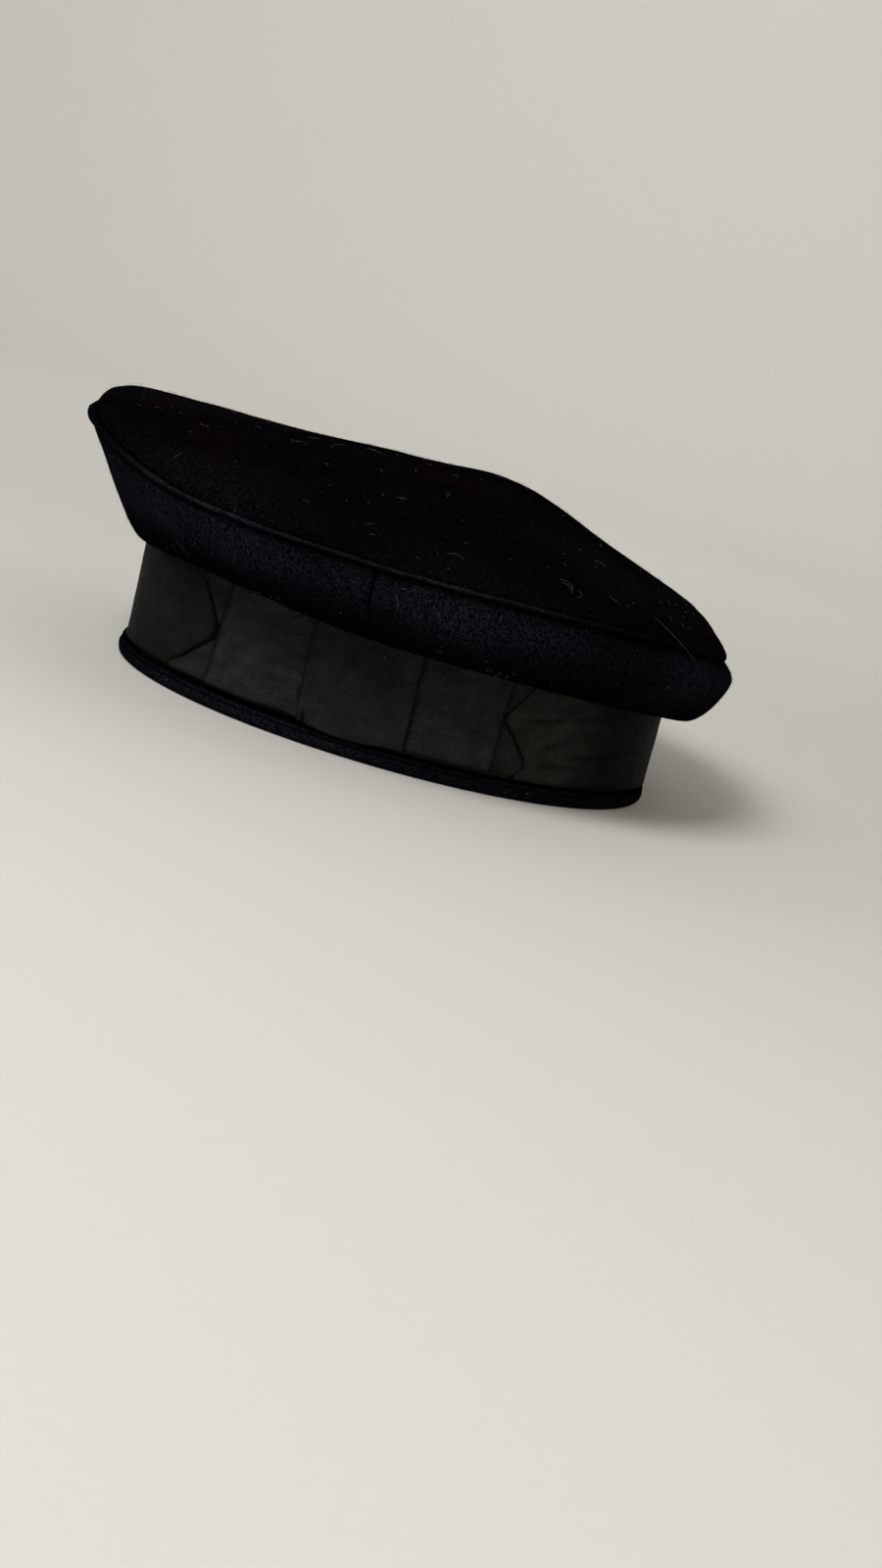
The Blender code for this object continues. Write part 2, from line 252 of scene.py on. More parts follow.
def along_end(end, height):
    """The reach of a cut or folded end at a height."""
    height = min(max(height, end[0][0]), end[-1][0])
    for (low, first), (high, last) in zip(end, end[1:]):
        if height <= high:
            return first + (last - first) * (height - low) / (high - low)


def bump(distance, width):
    """A soft hump, 1 in the middle and next to nothing two widths away."""
    return math.exp(-((distance / width) ** 2))


def ramp(low, high, value):
    """0 up to low, 1 from high on, and smooth between them."""
    t = min(max((value - low) / (high - low), 0.0), 1.0)
    return t * t * (3.0 - 2.0 * t)


def from_line(x, y, x1, y1, x2, y2):
    """Distance from a straight line between two points, and the share of the way along it."""
    dx, dy = x2 - x1, y2 - y1
    along = min(max(((x - x1) * dx + (y - y1) * dy) / (dx * dx + dy * dy), 0.0), 1.0)
    return math.hypot(x - x1 - along * dx, y - y1 - along * dy), along


def slackness(point, size, seed=0.0):
    """Smooth unevenness of soft cloth, about -1 to 1, with hollows and humps of a size in metres."""
    return noise.noise(point / size + Vector((seed, 7.3 - seed, 2.1 * seed)))


def waves(point, *rows):
    """A sum of such unevenness: each row gives its height and size in metres, and a seed."""
    return sum(height * slackness(point, size, seed) for height, size, seed in rows)


def outward_at(angle):
    return Vector((math.sin(math.radians(angle)), -math.cos(math.radians(angle)), 0.0))


def band_point(angle, outset, height):
    a = math.radians(angle)
    x = (HEAD_WIDTH / 2 + outset) * math.sin(a)
    y = -(HEAD_LENGTH / 2 + outset) * math.cos(a)
    return Vector((x, y - BAND_LEAN * height / BAND_TOP, height))


def bow_point(reach, outset, height):
    angle = 90.0 + math.degrees(reach / (HEAD_LENGTH / 2 + WRAP_FACE))
    return band_point(angle, outset, height)


@functools.cache
def rim_place(angle):
    a = math.radians(angle)
    height = BAND_TOP + CROWN_RISE * from_table(SIDE_SECTIONS, "rim_up", angle)
    return (CROWN_WIDTH / 2 * math.sin(a), -CROWN_LENGTH / 2 * math.cos(a) - CROWN_SHIFT, height)


def rim_point(angle):
    return Vector(rim_place(angle))


def piping_height(angle):
    """Half the piping's height. It is pressed flat along the sides, and rounder at the front and back."""
    return 0.00075 + 0.00055 * math.cos(math.radians(angle)) ** 2


def piping_point(angle):
    """The piping's middle: it follows the rim, a little unevenly, as a sewn edge does."""
    point = rim_point(angle)
    point.z += waves(point, (0.0003, 0.014, 0.0), (0.0002, 0.045, 3.0))
    return point


@functools.cache
def side_keys(angle):
    """The points that a section of the crown's side passes through, from the band up to the rim."""
    rim = piping_point(angle)
    foot = band_point(angle, WRAP_FACE, BAND_TOP)
    overhang = Vector((rim.x - foot.x, rim.y - foot.y, 0.0))
    outward = overhang.normalized()

    def key(name):
        out = from_table(SIDE_SECTIONS, name + "_out", angle)
        up = from_table(SIDE_SECTIONS, name + "_up", angle)
        return foot + overhang * out + Vector((0.0, 0.0, CROWN_RISE * up))

    keys = (
        band_point(angle, 0.0, BAND_TOP + GAP),
        band_point(angle, WRAP_FACE - RIBBON_WALL / 2, BAND_TOP + GAP),
        key("fold"),
        key("belly"),
        rim - Vector((0.0, 0.0, piping_height(angle) + 0.0001)) - outward * 0.0003,
    )
    return keys, outward, rim


def side_point(angle, share):
    """A point on the outside of the crown's side: from the band's top (0) round the fold to the rim (1)."""
    keys, outward, rim = side_keys(angle)
    place = share * (len(keys) - 1)
    places = list(range(len(keys)))
    point = Vector([smooth_value(places, [k[axis] for k in keys], place, False) for axis in range(3)])
    free = ramp(0.36, 0.62, share) * (1.0 - ramp(0.90, 1.0, share))
    slack = waves(point, (0.0009, 0.030, 1.0), (0.0004, 0.013, 5.0))
    pucker = waves(rim, (0.0005, 0.007, 9.0)) * ramp(0.80, 0.93, share) * (1.0 - ramp(0.97, 1.0, share))
    return point + outward * (free * slack + pucker)


@functools.cache
def top_columns(angle):
    """The rise of the crown's top along one line from the peak to the rim, and what its folds add."""
    names = ("inner", "middle", "shoulder", "edge", "roll")
    columns = [from_table(TOP_SECTIONS, name, angle) for name in names]
    folded = 0.0
    for fold in TOP_FOLDS:
        away = angle_from_front(angle - fold["angle"]) / fold["width"]
        folded += fold["depth"] * math.exp(-away * away)
    return (1.0, *columns, 0.0), folded


def top_rise(angle, share):
    columns, folded = top_columns(angle)
    rise = smooth_value((0.0, *TOP_PLACES, 1.0), columns, share, False)
    return rise + folded * math.sin(math.pi * share) ** 2


def top_point(angle, share):
    """A point on the crown's top, from the peak (0) to the rim (1), with its slack."""
    rim = piping_point(angle)
    peak = Vector((0.0, PEAK_SHIFT, BAND_TOP + CROWN_RISE))
    inward = Vector((peak.x - rim.x, peak.y - rim.y, 0.0)).normalized()
    seam = rim + inward * 0.0005 + Vector((0.0, 0.0, piping_height(angle)))
    place = peak.lerp(seam, share)
    place.z = seam.z + (peak.z - seam.z) * top_rise(angle, share)
    free = 1.0 - ramp(0.93, 1.0, share)
    nearest, held = 1.0, 0.0
    for i, (start, end) in enumerate(zip(TOP_CREASE, TOP_CREASE[1:])):
        away, along = from_line(place.x, place.y, *start, *end)
        fade = ramp(0.0, 0.9, i + along) * (1.0 - ramp(3.2, 4.0, i + along))
        if away < nearest:
            nearest, held = away, fade
    place.z += 0.0013 * bump(nearest, 0.0075) * held * free
    place.z += free * waves(place, (0.0007, 0.034, 2.0), (0.00025, 0.012, 4.0))
    pucker = waves(rim, (0.0005, 0.006, 6.0)) * ramp(0.84, 0.96, share) * (1.0 - ramp(0.975, 1.0, share))
    place.z += pucker
    return place


def close_at_ends(u):
    """Draws the columns of a grid together at its two ends, where an edge needs fine steps."""
    return u - 0.12 * math.sin(2.0 * math.pi * u)


def new_cloth(name, columns, rows, width, length, place, close=False, ease=None, shade=None):
    """A flat grid of cloth with its UV map in metres of cloth, each point then put in its place. Where
    shade gives a value over 0, the cloth gets painted shade in a seam, a crease or along a cut edge."""
    mesh = bpy.data.meshes.new(name)
    cloth = bmesh.new()
    flat = cloth.loops.layers.uv.new("cloth")
    painted_shade = cloth.verts.layers.float.new("painted_shade")
    bmesh.ops.create_grid(cloth, x_segments=columns, y_segments=rows, size=0.5, calc_uvs=True)
    for face in cloth.faces:
        for loop in face.loops:
            u, v = loop[flat].uv
            loop[flat].uv = ((ease(u) if ease else u) * length, v * width)
    for vert in cloth.verts:
        u, v = vert.co.x + 0.5, vert.co.y + 0.5
        u = ease(u) if ease else u
        vert.co = place(u, v)
        vert[painted_shade] = shade(u, v) if shade else 0.0
    if close:
        bmesh.ops.remove_doubles(cloth, verts=cloth.verts, dist=1e-6)
    cloth.to_mesh(mesh)
    cloth.free()
    mesh.shade_smooth()
    piece = bpy.data.objects.new(name, mesh)
    bpy.context.scene.collection.objects.link(piece)
    return piece


def turn_out(piece, middle):
    """Turns an open cloth's faces so that they point away from a middle."""
    mesh = piece.data
    lean = sum((face.center - middle).dot(face.normal) * face.area for face in mesh.polygons)
    if lean < 0:
        mesh.flip_normals()


def turn_ring_out(piece):
    """Turns a closed ring's faces outwards."""
    shape = bmesh.new()
    shape.from_mesh(piece.data)
    bmesh.ops.recalc_face_normals(shape, faces=shape.faces)
    shape.to_mesh(piece.data)
    shape.free()


def thicken(piece, wall, offset=-1.0, rounds=1):
    solid = piece.modifiers.new("wall", "SOLIDIFY")
    solid.thickness = wall
    solid.offset = offset
    solid.use_even_offset = True
    solid.use_quality_normals = True
    if rounds:
        smooth = piece.modifiers.new("rounding", "SUBSURF")
        smooth.levels = rounds
        smooth.render_levels = rounds


def dress(piece, nodes, material):
    """Gives a piece its material, ties it to the root body and hides the CAD nodes that it replaces."""
    piece.data.materials.append(material)
    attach(piece, "root")
    if nodes:
        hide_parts(*nodes)


# Materials


def srgb(code):
    """The linear colour of an sRGB hex value."""
    channels = [int(code[i : i + 2], 16) / 255.0 for i in (1, 3, 5)]
    linear = [c / 12.92 if c <= 0.04045 else ((c + 0.055) / 1.055) ** 2.4 for c in channels]
    return (*linear, 1.0)


def add_node(tree, kind, settings, links=None):
    """Adds a shader node. Settings go on the node, or by name or number on its sockets."""
    node = tree.nodes.new(kind)
    for key, value in settings.items():
        if isinstance(key, int) or key in node.inputs:
            node.inputs[key].default_value = value
        else:
            setattr(node, key, value)
    for key, source in (links or {}).items():
        tree.links.new(source, node.inputs[key])
    return node


def new_finish(name, settings):
    """A material with its Principled shader, and its tree."""
    material = bpy.data.materials.new(name)
    material.use_nodes = True
    shader = material.node_tree.nodes["Principled BSDF"]
    for key, value in settings.items():
        shader.inputs[key].default_value = value
    return material, material.node_tree, shader


def noise_of(tree, place, size, detail, roughness=0.5):
    """Noise with lumps of a size, in the unit of the place."""
    settings = {"Scale": 1 / size, "Detail": detail, "Roughness": roughness}
    return add_node(tree, "ShaderNodeTexNoise", settings, {"Vector": place}).outputs["Fac"]


def spread(tree, value, low, high, least=0.0, most=1.0):
    """Stretches low to high over least to most, and holds what lies outside at the ends."""
    settings = {"From Min": low, "From Max": high, "To Min": least, "To Max": most}
    return add_node(tree, "ShaderNodeMapRange", settings, {"Value": value}).outputs["Result"]


def product(tree, first, second):
    node = add_node(tree, "ShaderNodeMath", {"operation": "MULTIPLY"}, {0: first, 1: second})
    return node.outputs["Value"]


def blend(tree, share, first, second):
    """Two colours mixed by a share. Each is an sRGB hex value or comes from another node."""
    settings, links = {"data_type": "RGBA"}, {0: share}
    for number, colour in ((6, first), (7, second)):
        if isinstance(colour, str):
            settings[number] = srgb(colour)
        else:
            links[number] = colour
    return add_node(tree, "ShaderNodeMix", settings, links).outputs[2]


def paint_shade(tree, colour, code):
    """Painted shade: a colour that goes over to a near black one where the cloth's own attribute says so."""
    painted_shade = add_node(tree, "ShaderNodeAttribute", {"attribute_name": "painted_shade"}).outputs["Fac"]
    return blend(tree, painted_shade, colour, code)


def relief(tree, height, strength, distance, under=None):
    """Fine relief on the surface, on top of other relief where there is some."""
    links = {"Height": height, "Normal": under} if under else {"Height": height}
    settings = {"Strength": strength, "Distance": distance}
    return add_node(tree, "ShaderNodeBump", settings, links).outputs["Normal"]


def fulled_melton(name, ground, cool_tips, warm_tips, sheen):
    """Melton: wool woven, then fulled and brushed until its weave is gone. To the eye it is matt and
    nearly black, with a grain of paler fibre ends, blue-violet in some patches and brown in others,
    and a faint sheen where light grazes its nap. The grain is 0.9 mm across, coarser than real, so that
    it shows."""
    material, tree, shader = new_finish(
        name,
        {
            "Roughness": 0.95,
            "Specular IOR Level": 0.0,
            "Sheen Weight": sheen,
            "Sheen Roughness": 0.45,
            "Sheen Tint": srgb("#b9b2d0"),
        },
    )
    place = add_node(tree, "ShaderNodeTexCoord", {}).outputs["Object"]
    patches = spread(tree, noise_of(tree, place, 0.040, 2.0), 0.50, 0.68)
    tips = blend(tree, patches, cool_tips, warm_tips)
    grain = noise_of(tree, place, 0.0009, 4.0, 0.75)
    brushed = spread(tree, noise_of(tree, place, 0.060, 3.0), 0.36, 0.64, 0.40, 1.10)
    shown = product(tree, spread(tree, grain, 0.42, 0.68), brushed)
    cloth = blend(tree, shown, ground, tips)
    tree.links.new(paint_shade(tree, cloth, "#020203"), shader.inputs["Base Color"])
    tree.links.new(relief(tree, grain, 0.5, 0.0004), shader.inputs["Normal"])
    return material


def ribbed_rayon(name, ground, lit, seed):
    """Rayon petersham ribbon: fine weft ribs across it and a dull satin face. To the eye it is a flat
    charcoal black, a little streaky along its length, with soft pressed wrinkles. The ribs are 0.8 mm
    apart, twice as coarse as real, so that they show."""
    material, tree, shader = new_finish(name, {"Roughness": 0.60, "Specular IOR Level": 0.02})
    flat = add_node(tree, "ShaderNodeUVMap", {"uv_map": "cloth"}).outputs["UV"]
    shift = {"Location": (seed, seed * 0.37, 0.0)}
    moved = add_node(tree, "ShaderNodeMapping", shift, {"Vector": flat}).outputs["Vector"]
    streak_size = {"Scale": (1 / 0.009, 1 / 0.0060, 1.0)}
    streaky = add_node(tree, "ShaderNodeMapping", streak_size, {"Vector": moved}).outputs["Vector"]
    streaks = noise_of(tree, streaky, 1.0, 4.0, 0.65)
    slubs = noise_of(tree, moved, 0.0007, 2.0, 0.6)
    yarn = blend(tree, spread(tree, product(tree, streaks, slubs), 0.12, 0.40), ground, lit)
    tree.links.new(paint_shade(tree, yarn, "#020202"), shader.inputs["Base Color"])
    wrinkles = relief(tree, noise_of(tree, moved, 0.011, 2.0, 0.55), 0.35, 0.0020)
    rib_settings = {"Scale": 0.31416 / 0.0008, "Distortion": 0.6, "Detail": 1.0, "bands_direction": "X"}
    ribs = add_node(tree, "ShaderNodeTexWave", rib_settings, {"Vector": moved}).outputs["Fac"]
    tree.links.new(relief(tree, ribs, 0.30, 0.0001, wrinkles), shader.inputs["Normal"])
    return material


def speckled_finish(name, low, high, grain, roughness, gloss=0.2):
    """Two close colours in specks of a size in metres, for paper, thread and lint: to the eye one colour,
    a little uneven."""
    material, tree, shader = new_finish(name, {"Roughness": roughness, "Specular IOR Level": gloss})
    place = add_node(tree, "ShaderNodeTexCoord", {}).outputs["Object"]
    colour = blend(tree, noise_of(tree, place, grain, 2.0), low, high)
    tree.links.new(colour, shader.inputs["Base Color"])
    return material


# Wool pieces


def make_crown_top(wool):
    """The round top: a disc of cloth, drawn over the rim and sewn to the side all round."""

    def place(u, v):
        return top_point(360.0 * u, 1.0 - (1.0 - v) ** 1.15 if v < 1.0 else 1.0)

    piece = new_cloth("crown_top_cloth", 200, 56, 0.128, 0.80, place, close=True)
    turn_out(piece, Vector((0.0, 0.0, 0.0)))
    thicken(piece, CLOTH)
    dress(piece, ["crown_top"], wool)
    return piece


def make_side_panel(name, node, start, end, wool):
    """Half of the crown's side, drawn in a little along its upright seams at both ends."""
    span = end - start
    trim = 0.01

    def seam_distance(u):
        return min(u, 1.0 - u) * math.radians(span) * CROWN_WIDTH / 2

    def place(u, v):
        angle = start + trim + (span - 2 * trim) * u
        point = side_point(angle, v)
        middle = band_point(angle, 0.0, point.z)
        inward = Vector((middle.x - point.x, middle.y - point.y, 0.0)).normalized()
        drawn = 0.0004 * bump(seam_distance(u), 0.0011) - 0.0002 * bump(seam_distance(u) - 0.0030, 0.002)
        return point + inward * drawn * ramp(0.36, 0.55, v)

    def shade(u, v):
        """Painted shade where it turns under, unevenly, under the rim's piping and in its seams."""
        uneven = 0.04 * slackness(Vector((span * u / 7.0, 2.0 * v, 0.0)), 1.0)
        back = 0.05 * ramp(100.0, 150.0, angle_from_front(start + span * u))
        under = 1.0 - ramp(0.58, 0.82, v + uneven + back)
        seam = bump(seam_distance(u), 0.0007) * ramp(0.52, 0.75, v)
        return max(0.7 * ramp(0.955, 0.985, v), 0.92 * under, 0.75 * seam)

    columns = round(1.08 * span)
    piece = new_cloth(name, columns, 48, 0.060, 0.37, place, ease=close_at_ends, shade=shade)
    turn_out(piece, Vector((0.0, -0.005, 0.055)))
    thicken(piece, CLOTH)
    dress(piece, [node], wool)
    return piece


def make_rim_piping(wool):
    """The narrow ridge of cloth in the seam round the rim: it stands out as far as it is pressed flat."""

    def place(u, v):
        angle = 360.0 * u
        outward = outward_at(angle)
        turn = 2.0 * math.pi * v
        rise = Vector((0.0, 0.0, math.sin(turn) * piping_height(angle)))
        point = piping_point(angle) + outward * math.cos(turn) * 0.97 * PIPING_RADIUS + rise
        return point + outward * waves(point, (0.00022, 0.0025, 8.0))

    def shade(u, v):
        """Painted light and shade: only its crest is left lit, unevenly, and least at the front and the back
        of the cap.
        """
        angle = angle_from_front(360.0 * u)
        crest = bump((v + 0.5) % 1.0 - 0.59, 0.09)
        shows = ramp(34.0, 66.0, angle) * (1.0 - ramp(108.0, 136.0, angle))
        uneven_crest = 0.45 * shows * slackness(piping_point(360.0 * u), 0.0035, 2.0)
        return min(max(0.75 - shows * (0.2 + 0.55 * crest) - uneven_crest, 0.0), 1.0)

    piece = new_cloth("rim_piping_wool", 600, 20, 0.0094, 0.77, place, close=True, shade=shade)
    turn_ring_out(piece)
    dress(piece, ["rim_piping"], wool)


def make_lower_welt(wool):
    """The rolled edge that the cap stands on, with its seam line round it."""
    outs, ups = zip(*WELT_OUTLINE, WELT_OUTLINE[0])
    places = range(len(outs))

    def place(u, v):
        angle = 360.0 * u
        step = v * places[-1]
        width = WRAP_FACE + WELT_PROUD + WELT_SHIFT * math.cos(math.radians(angle))
        out = smooth_value(places, outs, step, False)
        up = min(max(smooth_value(places, ups, step, False), 0.0), 1.0)
        point = band_point(angle, width * out, WELT_HEIGHT * up)
        loose = ramp(0.5, 0.9, out) * ramp(0.02, 0.2, up)
        swell = waves(point, (0.00030, 0.012, 3.0), (0.00018, 0.004, 5.0))
        return point + outward_at(angle) * swell * loose

    def shade(_u, v):
        """Painted shade in the groove under the ribbon and along the seam."""
        step = v * places[-1]
        return 0.92 * max(bump(step - 8.0, 0.8), ramp(10.0, 11.6, step))

    piece = new_cloth("lower_welt_wool", 380, 66, 0.022, 0.59, place, close=True, shade=shade)
    turn_ring_out(piece)
    dress(piece, ["lower_welt"], wool)
    return piece


def make_band(wool):
    """The stiff upright band that grips the head. Only its inside shows."""

    def place(u, v):
        return band_point(360.0 * u, BAND_WALL, BAND_FOOT + (BAND_TOP - BAND_FOOT) * v)

    piece = new_cloth("band_cloth", 160, 10, 0.0405, 0.572, place, close=True)
    turn_out(piece, Vector((0.0, 0.0, 0.027)))
    thicken(piece, BAND_WALL)
    dress(piece, ["band"], wool)


# Ribbon pieces


def close_by_bow(u):
    """Draws a share of the columns of the ribbon round the band together behind the bow and beside it."""
    columns, way = 0.60, 0.28
    side = abs(2.0 * u - 1.0)
    if side < columns:
        side = side * way / columns
    else:
        side = way + (side - columns) * (1.0 - way) / (1.0 - columns)
    return 0.5 + math.copysign(side, u - 0.5) / 2


def beside(reach, height, front_end, back_end, front_width, back_width):
    """How close a place is to the layer that lies over it: 1 right beside its end, 0 well off or under it."""
    before, behind = along_end(front_end, height) - reach, reach - along_end(back_end, height)
    away, width = (before, front_width) if before > behind else (behind, back_width)
    return 1.0 - ramp(0.5 * width, 1.3 * width, away) if away > 0 else 0.0


def crease_depth(reach, height):
    depth = 0.0
    for x1, y1, x2, y2, deep in RIBBON_CREASES:
        away, along = from_line(reach, height, x1, y1, x2, y2)
        if away < 0.006:
            held = ramp(0.0, 0.2, along) * (1.0 - ramp(0.75, 1.0, along))
            depth += deep * held * (bump(away, 0.0009) - 0.5 * bump(away - 0.0022, 0.0012))
    return depth


def make_ribbon_wrap(ribbon):
    """The ribbon round the band."""
    round_way = math.pi * (HEAD_LENGTH / 2 + WRAP_FACE)

    def place(u, v):
        reach = round_way * (2.0 * u - 1.0)
        height = BAND_FOOT + RIBBON_WIDTH * v
        point = bow_point(reach, WRAP_FACE, height)
        edge = bump(min(v, 1.0 - v) * RIBBON_WIDTH, 0.0014)
        ripple = waves(Vector((point.x, point.y, point.z * 1.6)), (0.00028, 0.016, 1.0))
        inset = crease_depth(reach, height) - ripple - 0.00010 * edge
        return bow_point(reach, WRAP_FACE - 0.0001 - inset, height)

    def shade(u, v):
        """Painted shade in the creases, close beside the cut ends that lie on it and along its top and bottom
        edges; darker away from the bow.
        """
        reach = round_way * (2.0 * u - 1.0)
        height = BAND_FOOT + RIBBON_WIDTH * v
        creased = min(max(crease_depth(reach, height) / 0.0005, 0.0), 1.0)
        near = beside(reach, height, TAIL_FRONT_END, TAIL_BACK_END, 0.0034, 0.0017)
        # Painted shadow of the crown's overhang along the top edge, and painted shade in the gap along the
        # foot.
        edges = 0.25 * ramp(0.0385, 0.0450, height) + 0.7 * bump(height - BAND_FOOT, 0.0008)
        # Darker away from the bow, more so behind it.
        if reach > 0:
            darker_from_bow = 0.80 * ramp(0.072, 0.105, reach)
        else:
            darker_from_bow = 0.55 + 0.25 * ramp(0.060, 0.160, -reach)
            darker_from_bow += 0.15 * bump(reach + 0.105, 0.030) * (1.0 - ramp(0.010, 0.026, height))
        return min(0.6 * creased * (1.0 - darker_from_bow) + near + edges + darker_from_bow, 0.97)

    piece = new_cloth(
        "ribbon_wrap_cloth", 560, 52, RIBBON_WIDTH, 0.580, place, close=True, ease=close_by_bow, shade=shade
    )
    turn_out(piece, Vector((0.0, 0.0, 0.026)))
    thicken(piece, 0.0006, rounds=0)
    dress(piece, ["ribbon_wrap"], ribbon)


def make_bow_tails(ribbon):
    """Both swallow-cut ends in one strip under the wings, their points standing off a little."""
    foot, head = 0.0080, 0.0445

    def place(u, v):
        height = foot + (head - foot) * v
        first = along_end(TAIL_FRONT_END, height)
        last = along_end(TAIL_BACK_END, height)
        fray = 0.00022 * noise.noise(Vector((first * 40.0, height / 0.0011, u)))
        reach = first + (last - first) * u
        from_end = min(reach - first, last - reach)
        if u < 0.004 or u > 0.996:
            reach += fray
        lift = 0.00075 * bump(from_end, 0.0035) + 0.00045 * ramp(0.058, 0.074, abs(reach))
        wave = waves(Vector((reach * 1.2, height, 0.0)), (0.00020, 0.010, 6.0))
        return bow_point(reach, TAIL_FACE + lift + wave, height)

    def shade(u, v):
        """Painted shade on the cut edges, under the wings' folds and along the foot."""
        height = foot + (head - foot) * v
        first, last = along_end(TAIL_FRONT_END, height), along_end(TAIL_BACK_END, height)
        reach = first + (last - first) * u
        cut = bump(min(reach - first, last - reach), 0.00060)
        near = 0.7 * beside(reach, height, WING_FRONT_END, WING_BACK_END, 0.0020, 0.0010)
        return min(0.9 * cut + near + 0.7 * bump(height - foot, 0.0007), 0.97)

    piece = new_cloth(
        "bow_tails_ribbon", 200, 48, RIBBON_WIDTH, 0.139, place, ease=close_at_ends, shade=shade
    )
    turn_out(piece, Vector((0.0, 0.0, 0.026)))
    thicken(piece, RIBBON_THIN, rounds=0)
    dress(piece, ["bow_tails"], ribbon)


def wing_place(u, height):
    """The reach of a place on the turn round the wings' loop, and how far it is from the nearer fold. Most
    columns are close to the folds."""
    front, rear = along_end(WING_FRONT_END, height), along_end(WING_BACK_END, height)
    swing = math.cos(2.0 * math.pi * u)
    reach = (front + rear) / 2 + (rear - front) / 2 * math.copysign(abs(swing) ** 0.35, swing)
    return reach, max(min(reach - front, rear - reach), 0.0)


def make_bow_wings(ribbon):
    """The bow's loops: one closed turn of ribbon, pressed flat, folded at the front and at the back."""
    foot, head = 0.0082, 0.0446
    face, back = WING_FACE, WING_BACK_FACE
    half = (face - back) / 2
    middle = (face + back) / 2

    def place(u, v):
        height = foot + (head - foot) * v
        reach, from_fold = wing_place(u, height)
        # Flat faces, with a half round turn at each end.
        side = math.copysign(math.sqrt(1.0 - (1.0 - min(from_fold / half, 1.0)) ** 2), 0.5 - u)
        pinch = 0.0007 * bump(abs(reach) - 0.0190, 0.0060) + 0.0006 * bump(reach, 0.016)
        sag = 0.0010 * bump(reach + 0.0260, 0.0070) * bump(height - foot, 0.0045)
        puff = waves(Vector((reach, height, 0.01)), (0.00030, 0.013, 2.0))
        out = middle + half * side
        if side > 0:
            out += (puff - pinch - sag) * side
        else:
            out = max(out, back - half * 0.2)
        return bow_point(reach, out, height)

    def shade(u, v):
        """Painted shade at the two folds, and close beside the knot."""
        height = foot + (head - foot) * v
        reach, from_fold = wing_place(u, height)
        dip = 0.5 * bump(reach + 0.0260, 0.0070) * bump(height - foot, 0.0028)
        near = 0.5 * beside(reach, height, KNOT_FRONT_END, KNOT_BACK_END, 0.0009, 0.0007)
        folded = 0.8 * bump(from_fold, 0.00070 if reach > 0 else 0.0011)
        return min(folded + near + dip + 0.7 * bump(height - foot, 0.0007), 0.97)

    piece = new_cloth("bow_wings_ribbon", 520, 36, RIBBON_WIDTH, 0.200, place, close=True, shade=shade)
    turn_ring_out(piece)
    thicken(piece, RIBBON_THIN, offset=0.0, rounds=0)
    dress(piece, ["bow_wings"], ribbon)


def make_bow_knot(ribbon):
    """The turn of ribbon that binds the bow: over its face, and tucked behind it above and below."""
    outs = [row["out"] for row in KNOT_SECTION]
    heights = [row["height"] for row in KNOT_SECTION]
    places = range(len(KNOT_SECTION))

    def place(u, v):
        step = v * places[-1]
        out = smooth_value(places, outs, step, False)
        height = smooth_value(places, heights, step, False)
        first = along_end(KNOT_FRONT_END, height)
        last = along_end(KNOT_BACK_END, height)
        reach = first + (last - first) * u
        from_edge = min(u, 1.0 - u) * (last - first)
        low = bump(height - 0.0075, 0.0040)
        height -= 0.0016 * low * (math.sin(math.pi * min(1.0, 1.15 * u)) - 0.25)
        out -= 0.0005 * bump(from_edge, 0.0016) * ramp(0.0052, 0.0070, out)
        gather = 0.00055 * bump(reach + 0.0030, 0.0016) + 0.00035 * bump(reach - 0.0030, 0.0018)
        out -= gather * ramp(0.030, 0.043, height)
        tuck = bump(reach + 0.0155, 0.0010) - 0.8 * bump(reach + 0.0172, 0.0008)
        out -= 0.0009 * tuck * (1.0 - ramp(0.0085, 0.0140, height))
        out += waves(Vector((reach, height, 0.03)), (0.00022, 0.012, 4.0)) * ramp(0.0052, 0.0072, out)
        return bow_point(reach, out, height)

    def shade(u, v):
        """Painted shade at both edges, where it turns under below, and in the tuck at its lower front corner.
        """
        step = v * places[-1]
        height = smooth_value(places, heights, step, False)
        reach = (u - 0.5) * KNOT_WIDTH
        tuck = bump(reach + 0.0165, 0.0007) * (1.0 - ramp(0.0095, 0.0150, height))
        edge = bump(min(u, 1.0 - u) * KNOT_WIDTH, 0.00060)
        return min(0.7 * edge + 0.8 * tuck + 0.8 * ramp(9.3, 10.2, step), 0.9)

    piece = new_cloth("bow_knot_ribbon", 90, 96, 0.062, KNOT_WIDTH, place, ease=close_at_ends, shade=shade)
    turn_out(piece, bow_point(0.0, 0.0045, 0.026))
    thicken(piece, RIBBON_THIN, rounds=0)
    dress(piece, ["bow_knot"], ribbon)
    return piece


def new_grains(name, grains):
    """Small lumps in one mesh. Each has a place, a radius and a stretch along the three axes."""
    mesh = bpy.data.meshes.new(name)
    shape = bmesh.new()
    for place, radius, stretch in grains:
        made = bmesh.ops.create_icosphere(shape, subdivisions=1, radius=radius)["verts"]
        bmesh.ops.scale(shape, vec=stretch, verts=made)
        bmesh.ops.translate(shape, vec=place, verts=made)
    shape.to_mesh(mesh)
    shape.free()
    mesh.shade_smooth()
    piece = bpy.data.objects.new(name, mesh)
    bpy.context.scene.collection.objects.link(piece)
    return piece


def make_stitches(thread):
    """Small hand stitches: a row holds the knot's back edge, and two hold the wings' back fold."""
    radius = 0.00016
    rows = [(0.0187, 0.0120 + 0.00235 * i, KNOT_FACE + 0.00002, 0.00062) for i in range(13)]
    rows += [(0.0487, 0.0262, WING_FACE + 0.0001, 0.0006), (0.0492, 0.0289, WING_FACE + 0.0001, 0.0006)]
    grains = [
        (bow_point(reach, out, height), radius, (1.0, 1.0, half / radius))
        for reach, height, out, half in rows
    ]
    piece = new_grains("bow_stitches", grains)
    dress(piece, [], thread)


# Nap and lint


def add_fibre(curve, points, radii):
    """A fibre through some points, each with its share of the full thickness."""
    spline = curve.splines.new("POLY")
    spline.points.add(len(points) - 1)
    for place, point, radius in zip(spline.points, points, radii):
        place.co = (*point, 1.0)
        place.radius = radius


